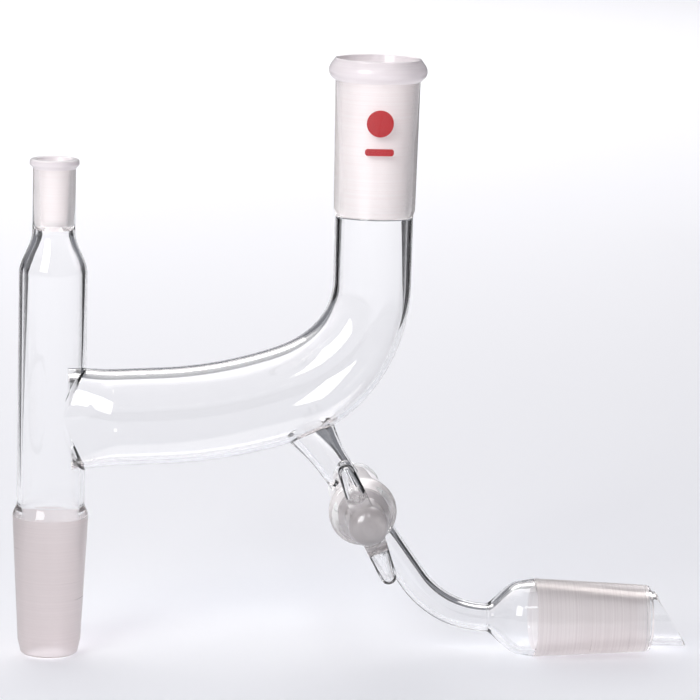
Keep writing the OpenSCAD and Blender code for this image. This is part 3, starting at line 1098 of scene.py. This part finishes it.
@dataclass
class Stopcock:
    """The bored plug that turns in a ground barrel, with its handle and what keeps it in."""

    pivot: Vector
    plug_d: float = 16.0
    fit: float = 0.05
    barrel_wall: float = 1.8
    lip_d: float = 21.5
    lip_l: float = 5.0
    lip_round: float = 1.4
    lip_run: tuple[float, float] = (0.6, 1.6)
    rear_bead_l: float = 2.6
    rear_bead_out: float = 0.5
    head_d: float = 12.6
    head_squash: float = 0.7
    head_facing: float = -0.2
    neck_l: float = 3.0
    neck_round: float = 0.5
    proud: float = 3.5
    port_d: float = 4.0
    handle_l: float = 41.0
    handle_depth: float = 14.0
    handle_t: float = 6.8
    handle_deg: float = 23.0
    handle_wall: float = 1.3
    # How much thicker and wider than the handle's plain section each lobe is at its root and its tip.
    root_more: tuple[float, float] = (0.4, 0.6)
    tip_more: tuple[float, float] = (-0.8, -1.4)
    root_share: float = 0.3
    cavity_gap: float = 3.6
    stub_l: float = 7.5
    stub_step: float = 1.1
    step_rise: float = 0.01
    stub_ease: float = 0.6
    groove_l: float = 2.6
    groove_deep: float = 0.9
    washer_play: float = 0.15
    washer_rim: float = 0.25
    ring_out: float = 2.2

    def __post_init__(self) -> None:
        """Takes the places along the plug's axis from the frame."""
        turn = Matrix.Rotation(-math.pi / 2, 4, "X")
        self.place = Matrix.Translation(self.pivot) @ turn
        low, high = node_box("stopcock_barrel")
        self.front, self.rear = low.y - self.pivot.y, high.y - self.pivot.y
        self.length = self.rear - self.front
        self.small_r = (self.plug_d - TAPER * self.length) / 2
        self.tip = node_box("stopcock_plug")[0].y - self.pivot.y
        self.stub_r = self.small_r - self.stub_step
        low, high = node_box("plug_washer")
        self.washer_low, self.washer_high = low.y - self.pivot.y, high.y - self.pivot.y
        low, high = node_box("plug_keeper_ring")
        self.ring_low, self.ring_high = low.y - self.pivot.y, high.y - self.pivot.y

    def outside(self) -> Profile:
        """Works out the barrel's outer profile.

        Returns:
            Its points from the front lip to the rear rim.
        """
        lip_r, rim, rows = self.lip_d / 2, self.lip_round, 10
        body_front_r, body_rear_r = self.plug_d / 2 + self.barrel_wall, self.small_r + self.barrel_wall
        start = self.rear - self.rear_bead_l
        shares = [i / rows for i in range(rows + 1)]
        bulge, bead_l = self.rear_bead_out, self.rear_bead_l
        bead = [(body_rear_r + bulge * math.sin(math.pi * t), start + bead_l * t) for t in shares]
        edge = arc((lip_r - rim, self.front + rim), rim, -90, 0, 8)
        lip_z, body_z = (self.front + self.lip_l * share for share in self.lip_run)
        return [*edge, *shoulder((lip_r, lip_z), (body_front_r, body_z), 12), *bead]

    def bore(self) -> Profile:
        """Returns the barrel's ground bore, from its rear rim to its front."""
        return [(self.small_r, self.rear), (self.plug_d / 2, self.front)]

    def skins(self) -> tuple[BVHTree, BVHTree]:
        """Returns search trees of the barrel's outside and of its bore."""
        walls = (spun(profile, self.place, closed=False) for profile in (self.outside(), self.bore()))
        outer, inner = (BVHTree.FromBMesh(bm) for bm in walls)
        return outer, inner

    def build_barrel(self, bench: Bench, cutters: Sequence[bmesh.types.BMesh]) -> None:
        """Makes the barrel.

        Args:
            bench: Where pieces are dressed.
            cutters: Solids that open its wall for the two tubes.
        """
        bm = spun(self.outside() + self.bore(), self.place)
        paint(bm, Skin.GROUND, zone(self.place, self.front, self.rear, outward=False))
        slots = bench.bore_slots(Axis.Y)
        bench.mount(
            "stopcock_barrel_glass", bm, slots, "head", "stopcock_barrel", cutters
        )

    def build_plug(self, bench: Bench) -> None:
        """Makes the plug, with its cross bore, domed head and grooved stub.

        Args:
            bench: Where pieces are dressed.
        """
        dome_r = self.head_d / 2
        front = self.front - self.proud
        big_r = self.plug_d / 2 - self.fit + TAPER * self.proud / 2
        groove, groove_r = self.washer_high, self.stub_r - self.groove_deep
        groove_end, stub_end = groove + self.groove_l, self.rear + self.stub_l
        dome = arc((0.0, self.tip + dome_r * self.head_squash), dome_r, -90, 0, 20, self.head_squash)
        profile = [
            *dome,
            (dome_r, front - self.neck_l),
            (big_r, front),
            (self.small_r - self.fit, self.rear),
            (self.stub_r, self.rear + self.step_rise),
            (self.stub_r, groove),
            (groove_r, groove),
            (groove_r, groove_end),
            (self.stub_r, groove_end),
            (self.stub_r - self.stub_ease, stub_end),
            (0.0, stub_end),
        ]
        bm = spun(profile, self.place, closed=False)
        round_rims(bm, self.place, front - self.neck_l, front, self.neck_round)
        paint(bm, Skin.GROUND, zone(self.place, self.tip - 1, self.rear, outward=True))
        paint(bm, Skin.GROUND, lambda centre, normal: normal.y < self.head_facing)
        across = Matrix.Translation(self.pivot) @ Matrix.Rotation(-math.radians(self.handle_deg), 4, "Y")
        port = rod(self.port_d / 2, 2 * self.plug_d, 48, across, Skin.CLEAR)
        slots = [bench.clear, bench.plug, bench.seam]
        bench.mount("stopcock_plug_glass", bm, slots, "plug", "stopcock_plug", [port])

    def lobe(self, inset: float, root: float) -> bmesh.types.BMesh:
        """Makes one round-edged lobe along +Z from the plug's axis, as the skin round four balls.

        Args:
            inset: How far the skin lies inside the lobe's outside.
            root: Height of the two balls nearest the plug's axis.

        Returns:
            The closed mesh, centred on the handle's middle.
        """
        half = self.handle_depth / 2
        bm = bmesh.new()
        tip = self.handle_l / 2 - (self.handle_t / 2 + self.tip_more[0])
        for (thicker, wider), height in ((self.root_more, root), (self.tip_more, tip)):
            radius = self.handle_t / 2 + thicker
            for side in (-1, 1):
                centre = Matrix.Translation((0, side * (half - radius + wider), height))
                bmesh.ops.create_uvsphere(
                    bm, u_segments=48, v_segments=24, radius=radius - inset, matrix=centre
                )
        hull = bmesh.ops.convex_hull(bm, input=bm.verts, use_existing_faces=False)
        spare = {v for v in hull["geom_interior"] + hull["geom_unused"] if isinstance(v, bmesh.types.BMVert)}
        bmesh.ops.delete(bm, geom=list(spare), context="VERTS")
        inner = [f for f in bm.faces if all(len(e.link_faces) != 2 for e in f.edges)]
        bmesh.ops.delete(bm, geom=inner, context="FACES")
        bmesh.ops.recalc_face_normals(bm, faces=bm.faces)
        return bm

    def build_handle(self, bench: Bench) -> None:
        """Makes the two blown lobes fused to the plug's head.

        Args:
            bench: Where pieces are dressed.
        """
        low, high = node_box("plug_handle")
        middle = Vector((self.pivot.x, (low.y + high.y) / 2, self.pivot.z))
        whole = bmesh.new()
        for turn in (0.0, 180.0):
            spin = Matrix.Rotation(math.radians(turn - self.handle_deg), 4, "Y")
            place = Matrix.Translation(middle) @ spin
            skin = self.lobe(0.0, self.head_d * self.root_share)
            cavity = self.lobe(self.handle_wall, self.head_d / 2 + self.cavity_gap)
            bmesh.ops.reverse_faces(cavity, faces=cavity.faces)
            for part in (skin, cavity):
                bmesh.ops.transform(part, matrix=place, verts=part.verts)
                holder = bpy.data.meshes.new("lobe")
                part.to_mesh(holder)
                whole.from_mesh(holder)
                bpy.data.meshes.remove(holder)
                part.free()
        lie = Matrix.Translation(middle) @ Matrix.Rotation(math.pi / 2, 4, "X")
        core = rod(self.head_d / 2, 3 * self.handle_depth, 128, lie, Skin.WELD)
        slots = bench.bore_slots(Axis.Y)
        bench.mount("plug_handle_glass", whole, slots, "plug", "plug_handle", [core])

    def build_keepers(self, bench: Bench) -> None:
        """Makes the washer and the ring that keep the plug in its barrel.

        Args:
            bench: Where pieces are dressed.
        """
        hole_r, rim_r = self.stub_r + self.washer_play, self.small_r + self.barrel_wall
        low, high = self.washer_low, self.washer_high
        washer = spun([(hole_r, low), (rim_r, low), (rim_r, high), (hole_r, high)], self.place)
        round_rims(washer, self.place, low, high, self.washer_rim)
        bench.mount("plug_washer_ptfe", washer, [PTFE.build()], "plug", "plug_washer")
        low, high = self.ring_low, self.ring_high
        inner_r, outer_r = self.stub_r - self.groove_deep, self.stub_r + self.ring_out
        belly = (high - low) / 2
        swell = arc((outer_r - belly, low + belly), belly, -90, 90, 16)
        ring = spun([(inner_r, low), *swell, (inner_r, high)], self.place)
        rubber = [NITRILE_RUBBER.build()]
        bench.mount("plug_keeper_ring_rubber", ring, rubber, "plug", "plug_keeper_ring")


@dataclass
class TakeOff:
    """The tubes that lead the condensate down through the stopcock to the receiver's cone."""

    pivot: Vector
    angle_deg: float = 54.5
    stem_d: float = 10.4
    mouth_d: float = 15.0
    tube_wall: float = 1.5
    delivery_d: float = 9.2
    delivery_straight: float = 31.6
    delivery_bend_r: float = 30.0
    port_d: float = 4.0
    cone_d: float = 25.2
    cone_wall: float = 1.6
    cone_l: float = 33.0
    tip_d: float = 17.6
    tip_short: float = 1.5
    mouth_thicker: float = 1.0
    # Share of the length and power of the curve for the stem's mouth, its foot and the tube's fillet.
    mouth_flare: tuple[float, float] = (0.7, 1.8)
    foot_neck: tuple[float, float] = (0.2, 1.5)
    fillet: tuple[float, float] = (0.35, 1.7)
    fillet_out: float = 0.7
    dome_power: float = 1.15
    dome_share: float = 0.72
    dome_in: float = 0.7
    dome_bore_in: float = 2.3
    dome_bore_lag: float = 1.4
    dome_bore_short: float = 1.0
    cone_thicker: float = 0.3
    curl_r: float = 1.4
    curl_in: float = 1.6
    land_in: float = 0.2
    land_l: float = 2.0
    sides: int = 96

    def __post_init__(self) -> None:
        """Takes the places of the receiver's parts from the frame."""
        self.along = heading_vector(-math.radians(self.angle_deg))
        low, high = node_box("receiver_shoulder")
        self.shoulder_x, self.cone_x = low.x, high.x
        self.axis_z = (low.z + high.z) / 2
        self.tip_x, self.end_x = node_box("drip_tip")[0].x, node_box("drip_tip")[1].x
        lie = Matrix.Rotation(math.pi / 2, 4, "Y")
        self.place = Matrix.Translation((self.shoulder_x, 0, self.axis_z)) @ lie

    def stem_loops(self, arm: RefluxBend, cock: Stopcock) -> tuple[list[Loop], list[Loop]]:
        """Works out the stem's two skins between the arm's floor and the barrel.

        Args:
            arm: The side arm that it leaves.
            cock: The stopcock that it feeds.

        Returns:
            Loops of its outside and of its bore.
        """
        arm_skins, cock_skins = arm.skins(), cock.skins()
        mouth_r, foot_r = self.mouth_d / 2, self.stem_d / 2
        bore_mouth_r = mouth_r - self.tube_wall - self.mouth_thicker
        walls = (
            (mouth_r, foot_r, arm_skins[0], cock_skins[0], foot_r),
            (bore_mouth_r, foot_r - self.tube_wall, arm_skins[1], cock_skins[1], self.port_d / 2),
        )
        (flare_l, flare_power), (neck_l, neck_power) = self.mouth_flare, self.foot_neck
        skins = []
        for top_r, low_r, roof, floor, end_r in walls:
            top = cast(circle(self.pivot, self.along, top_r, self.sides), -self.along, roof)
            above = self.pivot - self.along * FAR_MM
            end = cast(circle(above, self.along, end_r, self.sides), self.along, floor)
            rows = 16
            loops = [top]
            for i in range(1, rows):
                t = i / rows
                flare = (top_r - low_r) * max(0.0, 1 - t / flare_l) ** flare_power
                narrow = (end_r - low_r) * max(0.0, (t - (1 - neck_l)) / neck_l) ** neck_power
                ring = circle(self.pivot, self.along, low_r + flare + narrow, self.sides)
                loops.append([self.between(p, a, b, t) for p, a, b in zip(ring, top, end)])
            skins.append([*loops, end])
        return skins[0], skins[1]

    def between(self, point: Vector, start: Vector, end: Vector, t: float) -> Vector:
        """Moves a point along the take-off's axis to a share of the way between two others.

        Args:
            point: A point of a ring about the axis, at the pivot.
            start: Where the share is 0.
            end: Where the share is 1.
            t: The share.

        Returns:
            The moved point.
        """
        first = (start - self.pivot).dot(self.along)
        last = (end - self.pivot).dot(self.along)
        return point + self.along * (first + (last - first) * t)

    def build_stem(self, bench: Bench, arm: RefluxBend, cock: Stopcock) -> list[bmesh.types.BMesh]:
        """Makes the stem.

        Args:
            bench: Where pieces are dressed.
            arm: The side arm that it leaves.
            cock: The stopcock that it feeds.

        Returns:
            The solids that open the arm's floor and the barrel's wall for it.
        """
        outer, inner = self.stem_loops(arm, cock)
        bm, slots = tube(outer, inner), bench.bore_slots(Axis.Y)
        bench.mount("takeoff_stem_glass", bm, slots, "head", "takeoff_stem")
        push = self.along * PUSH_MM
        return [opening(outer[0], inner[0], push), opening(outer[-1], inner[-1], -push)]

    def build_delivery(self, bench: Bench, cock: Stopcock) -> bmesh.types.BMesh:
        """Makes the bent tube from the barrel to the receiver's shoulder.

        Args:
            bench: Where pieces are dressed.
            cock: The stopcock that feeds it.

        Returns:
            The solid that opens the barrel's wall for it.
        """
        floor_outer, floor_inner = cock.skins()
        heading = -math.radians(self.angle_deg)
        bend_start = self.pivot + self.along * self.delivery_straight
        skins = []
        r = self.delivery_d / 2
        below = self.pivot + self.along * FAR_MM
        fillet_l, fillet_power = self.fillet
        walls = ((0.0, floor_outer, r + self.fillet_out), (self.tube_wall, floor_inner, self.port_d / 2))
        for wall, floor, end_r in walls:
            start = cast(circle(below, self.along, end_r, self.sides), -self.along, floor)
            loops = [start]
            rows = 14
            for i in range(1, rows):
                t = i / rows
                here = r - wall + (end_r - r + wall) * max(0.0, 1 - t / fillet_l) ** fillet_power
                ring = circle(self.pivot, self.along, here, self.sides)
                straight_end = circle(bend_start, self.along, here, self.sides)
                loops.append([self.between(p, a, b, t) for p, a, b in zip(ring, start, straight_end)])
            for i in range(31):
                turn = heading * (1 - i / 30)
                centre = arc_end(bend_start, self.delivery_bend_r, heading, turn)
                loops.append(oval(centre, turn, r - wall, r - wall, self.sides))
            skins.append(loops)
        outer, inner = skins
        bm, slots = tube(outer, inner), bench.bore_slots(Axis.Y)
        bench.mount("delivery_tube_glass", bm, slots, "head", "delivery_tube")
        return opening(outer[0], inner[0], self.along * PUSH_MM)

    def build_shoulder(self, bench: Bench) -> None:
        """Makes the round shoulder between the delivery tube and the cone.

        Args:
            bench: Where pieces are dressed.
        """
        r, tube_r, rows = self.cone_d / 2, self.delivery_d / 2, 20
        length = self.cone_x - self.shoulder_x
        dome_l, dome_r = length * self.dome_share, r - self.dome_in
        shares = [i / rows for i in range(1, rows + 1)]
        turns = [(t, math.sin(math.pi / 2 * t**self.dome_power)) for t in shares]
        outside = [(tube_r, 0.0)]
        outside += [(tube_r + (dome_r - tube_r) * s, dome_l * t) for t, s in turns]
        outside += [(r, length)]
        bore_r, wide_r = tube_r - self.tube_wall, r - self.dome_bore_in
        run = dome_l - self.dome_bore_short
        inside = [(r - self.cone_wall - self.cone_thicker, length)]
        inside += [(bore_r + (wide_r - bore_r) * s, self.dome_bore_lag + run * t) for t, s in reversed(turns)]
        inside += [(bore_r, 0.0)]
        bm = spun(outside + inside, self.place)
        paint(bm, Skin.WELD, seam(self.place, 0.0, length))
        slots = bench.bore_slots(Axis.X)
        bench.mount("receiver_shoulder_glass", bm, slots, "head", "receiver_shoulder")

    def build_cone(self, bench: Bench) -> None:
        """Makes the ground cone that goes into the receiver.

        Args:
            bench: Where pieces are dressed.
        """
        r, tip_r = self.cone_d / 2, self.tip_d / 2
        start = self.cone_x - self.shoulder_x
        ground_end = start + self.cone_l
        end = self.tip_x - self.shoulder_x
        end_r = (self.cone_d - TAPER * self.cone_l) / 2
        curl = arc((end_r - self.curl_in, end - self.curl_r), self.curl_r, 0, 90, 8)
        land = (end_r - self.land_in, end - self.land_l)
        outside = [(r, start), (end_r, ground_end), land, *curl, (tip_r, end)]
        inside = [
            (tip_r - self.cone_wall, end),
            (tip_r - self.cone_wall, ground_end),
            (r - self.cone_wall - self.cone_thicker, start),
        ]
        bm = spun(outside + inside, self.place)
        paint(bm, Skin.GROUND, zone(self.place, start, end - self.curl_in, outward=True))
        home = self.place.inverted()

        def fused(centre: Vector, normal: Vector) -> bool:
            """Tells whether a face is fused, at the cone's start or where the drip tip stands.

            Args:
                centre: The face's centre.
                normal: Its normal.

            Returns:
                True if it is.
            """
            here = home @ centre
            at_tip = abs(here.z - end) < CLOSE_MM and math.hypot(here.x, here.y) < tip_r
            return at_tip or seam(self.place, start)(centre, normal)

        paint(bm, Skin.WELD, fused)
        slots = bench.cone_slots(Axis.X)
        bench.mount("receiver_cone_glass", bm, slots, "head", "receiver_cone")

    def build_tip(self, bench: Bench) -> None:
        """Makes the drip tip, cut off at a rake and left with a ground edge.

        Args:
            bench: Where pieces are dressed.
        """
        r = self.tip_d / 2
        start, end = self.tip_x - self.shoulder_x, self.end_x - self.shoulder_x
        walls = [(r, start), (r, end), (r - self.cone_wall, end), (r - self.cone_wall, start)]
        bm = spun(walls, self.place)
        rise = self.end_x - self.tip_x - self.tip_short
        point = Vector((self.tip_x + self.tip_short, 0, self.axis_z + r))
        facing = Vector((self.tip_d, 0, rise)).normalized()
        bmesh.ops.bisect_plane(
            bm,
            geom=bm.verts[:] + bm.edges[:] + bm.faces[:],
            plane_co=point,
            plane_no=facing,
            clear_outer=True,
        )
        rims = [e for e in bm.edges if len(e.link_faces) == 1]
        for face in bmesh.ops.bridge_loops(bm, edges=rims)["faces"]:
            face.material_index = Skin.GROUND.value
        bmesh.ops.recalc_face_normals(bm, faces=bm.faces)
        paint(bm, Skin.WELD, seam(self.place, start))
        slots = bench.bore_slots(Axis.X)
        bench.mount("drip_tip_glass", bm, slots, "head", "drip_tip")


@dataclass
class Marks:
    """Plain fired enamel marks on the condenser's socket: a round spot over a short bar."""

    spot_r: float = 4.2
    spot_z: float = 128.5
    bar_w: float = 9.0
    bar_h: float = 2.2
    bar_z: float = 119.5
    lift: float = 0.02
    thickness: float = 0.06
    corner_share: float = 0.4
    insets: int = 8
    inset_share: float = 1 / 18

    def patch(self, width: float, height: float, z: float, round_end: bool) -> bmesh.types.BMesh:
        """Makes a flat patch in front of the socket, ready to be laid on it.

        Args:
            width: Its width.
            height: Its height.
            z: Height of its centre.
            round_end: True for an ellipse and False for a rounded rectangle.

        Returns:
            The flat mesh, facing -Y.
        """
        bm = bmesh.new()
        if round_end:
            bmesh.ops.create_circle(bm, cap_ends=True, segments=64, radius=0.5)
        else:
            bmesh.ops.create_grid(bm, x_segments=1, y_segments=1, size=0.5)
        bmesh.ops.scale(bm, vec=(width, height, 1), verts=bm.verts)
        if not round_end:
            bmesh.ops.bevel(
                bm,
                geom=bm.verts[:],
                offset=height * self.corner_share,
                affect="VERTICES",
                segments=6,
                profile=0.5,
                material=-1,
            )
        step = min(width, height) * self.inset_share
        for _ in range(self.insets):
            faces = [max(bm.faces, key=lambda f: f.calc_area())]
            bmesh.ops.inset_region(bm, faces=faces, thickness=step, use_even_offset=True)
        bmesh.ops.rotate(bm, cent=(0, 0, 0), matrix=Matrix.Rotation(math.pi / 2, 3, "X"), verts=bm.verts)
        bmesh.ops.translate(bm, vec=(0, 0, z), verts=bm.verts)
        return bm

    def build(self, bench: Bench, arm: RefluxBend) -> None:
        """Lays the marks on the socket's outside.

        Args:
            bench: Where pieces are dressed.
            arm: The side arm whose socket bears them.
        """
        tree = BVHTree.FromBMesh(arm.socket_skin)
        enamel = RED_ENAMEL.build()
        shapes = {
            "enamel_spot": self.patch(2 * self.spot_r, 2 * self.spot_r, self.spot_z, True),
            "enamel_bar": self.patch(self.bar_w, self.bar_h, self.bar_z, False),
        }
        for name, bm in shapes.items():
            bmesh.ops.translate(bm, vec=(arm.socket_x, 0, 0), verts=bm.verts)
            for vert in bm.verts:
                hit = tree.ray_cast(vert.co + Vector((0, -FAR_MM, 0)), Vector((0, 1, 0)))[0]
                out = Vector((hit.x - arm.socket_x, hit.y, 0)).normalized()
                vert.co = hit + out * self.lift
            bmesh.ops.recalc_face_normals(bm, faces=bm.faces)
            bmesh.ops.solidify(bm, geom=bm.faces[:], thickness=self.thickness)
            bench.mount(name, bm, [enamel], "head")


# ---------------------------------------------------------------- studio


@dataclass
class Studio:
    """A pale floor under soft boxes, with dark cards at the sides that draw the glass's edges."""

    floor_half_m: float = 9.0
    floor_colour: str = "#F4F5F9"
    room_colour: str = "#DADCE6"
    room_strength: float = 0.3
    # Each soft box: place and target in metres, width, height and watts.
    boxes: tuple = (
        ("overhead", (-0.35, 1.35, 1.25), (-0.3, 1.3, 0.0), 1.9, 2.2, 17.5, "#FFFCFA"),
        ("far_overhead", (0.1, 2.6, 1.5), (0.1, 2.6, 0.0), 2.5, 1.6, 27.0, "#FFFCFA"),
        ("front_left", (-0.9, -1.3, 1.0), (0.1, 0.0, 0.05), 0.8, 1.0, 22.0, "#FFFFFF"),
        ("front_spark", (0.15, -1.0, 1.1), (0.1, 0.0, 0.05), 0.14, 0.14, 1.5, "#FFFFFF"),
    )
    # Each dark card: place in metres.
    cards: tuple = (("left_card", (-0.16, 0.58, 0.0)), ("right_card", (0.36, 0.58, 0.0)))
    card_size: tuple[float, float] = (0.8, 0.16)
    camera_mm: tuple = (1.57, -1083.4, 251.24)
    pitch_deg: float = 10.24
    yaw_deg: float = 4.88
    roll_deg: float = 1.59
    lens_mm: float = 179.1
    sensor_mm: float = 36.0
    clip_m: tuple[float, float] = (0.05, 50.0)

    def build_floor(self, level: float) -> None:
        """Lays the floor.

        Args:
            level: Its height in metres.
        """
        paper = SolidFinish("seamless_paper", self.floor_colour, self.floor_colour, 0.9, 8.0, 0.0).build()
        bm = bmesh.new()
        bmesh.ops.create_grid(bm, x_segments=8, y_segments=8, size=self.floor_half_m)
        bmesh.ops.translate(bm, vec=(0, 0, level), verts=bm.verts)
        as_object("studio_floor", bm, [paper])

    def build_cards(self) -> None:
        """Stands dark cards beside the object, seen only in the glass."""
        black = SolidFinish("black_flag_cloth", "#0C0C0E", "#0C0C0E", 0.95, 3.0, 0.0).build()
        turn = Matrix.Rotation(math.pi / 2, 4, "Z") @ Matrix.Rotation(math.pi / 2, 4, "X")
        for name, place in self.cards:
            bm = bmesh.new()
            bmesh.ops.create_grid(bm, x_segments=1, y_segments=1, size=0.5)
            bmesh.ops.scale(bm, vec=(*self.card_size, 1), verts=bm.verts)
            bmesh.ops.transform(bm, matrix=Matrix.Translation(place) @ turn, verts=bm.verts)
            card = as_object(name, bm, [black])
            card.visible_camera = card.visible_diffuse = card.visible_shadow = False

    def build_lights(self) -> None:
        """Hangs the soft boxes and sets the room's faint fill."""
        for name, place, target, width, height, watts, colour in self.boxes:
            data = bpy.data.lights.new(name, "AREA")
            data.shape, data.size, data.size_y = "RECTANGLE", width, height
            data.energy, data.color = watts, linear(colour)[:3]
            lamp = bpy.data.objects.new(name, data)
            aim = (Vector(target) - Vector(place)).to_track_quat("-Z", "Y").to_matrix().to_4x4()
            lamp.matrix_world = Matrix.Translation(place) @ aim
            bpy.context.scene.collection.objects.link(lamp)
        world = bpy.data.worlds.new("room")
        world.use_nodes = True
        back = world.node_tree.nodes["Background"]
        back.inputs["Color"].default_value = linear(self.room_colour)
        back.inputs["Strength"].default_value = self.room_strength
        bpy.context.scene.world = world

    def build_camera(self) -> None:
        """Sets the camera in front of the object, a little above it."""
        pitch, yaw, roll = (math.radians(v) for v in (self.pitch_deg, self.yaw_deg, self.roll_deg))
        ahead = Vector((math.sin(yaw) * math.cos(pitch), math.cos(yaw) * math.cos(pitch), -math.sin(pitch)))
        right = Vector((math.cos(yaw), -math.sin(yaw), 0))
        up = right.cross(ahead)
        side = right * math.cos(roll) + up * math.sin(roll)
        top = up * math.cos(roll) - right * math.sin(roll)
        data = bpy.data.cameras.new("camera")
        data.lens, data.sensor_width = self.lens_mm, self.sensor_mm
        data.clip_start, data.clip_end = self.clip_m
        camera = bpy.data.objects.new("camera", data)
        bpy.context.scene.collection.objects.link(camera)
        turn = Matrix((side, top, -ahead)).transposed().to_4x4()
        camera.matrix_world = Matrix.Translation(Vector(self.camera_mm) * MM) @ turn
        bpy.context.scene.camera = camera


def main() -> None:
    """Builds the object's pieces and then the studio round them."""
    logging.basicConfig(level=logging.INFO, format="%(message)s")
    bpy.context.scene.view_settings.view_transform = "Standard"
    joint = frame["record"]["behaviour"]["joints"][0]
    pivot = Vector(joint["pos_m"]) / MM
    studio = Studio()
    studio.build_camera()
    bench = Bench()
    arm, column = RefluxBend(), Column()
    cock, takeoff = Stopcock(pivot), TakeOff(pivot)
    column.build_cone(bench)
    column.build_tube(bench, arm)
    column.build_socket(bench)
    arm_opening, stem_opening = takeoff.build_stem(bench, arm, cock)
    arm.build_arm(bench, arm_opening)
    arm.build_socket(bench)
    Marks().build(bench, arm)
    delivery_opening = takeoff.build_delivery(bench, cock)
    cock.build_barrel(bench, [stem_opening, delivery_opening])
    cock.build_plug(bench)
    cock.build_handle(bench)
    cock.build_keepers(bench)
    takeoff.build_shoulder(bench)
    takeoff.build_cone(bench)
    takeoff.build_tip(bench)
    studio.build_floor(CAD_BOX[0].z)
    studio.build_cards()
    studio.build_lights()


if __name__ == "__main__":
    main()
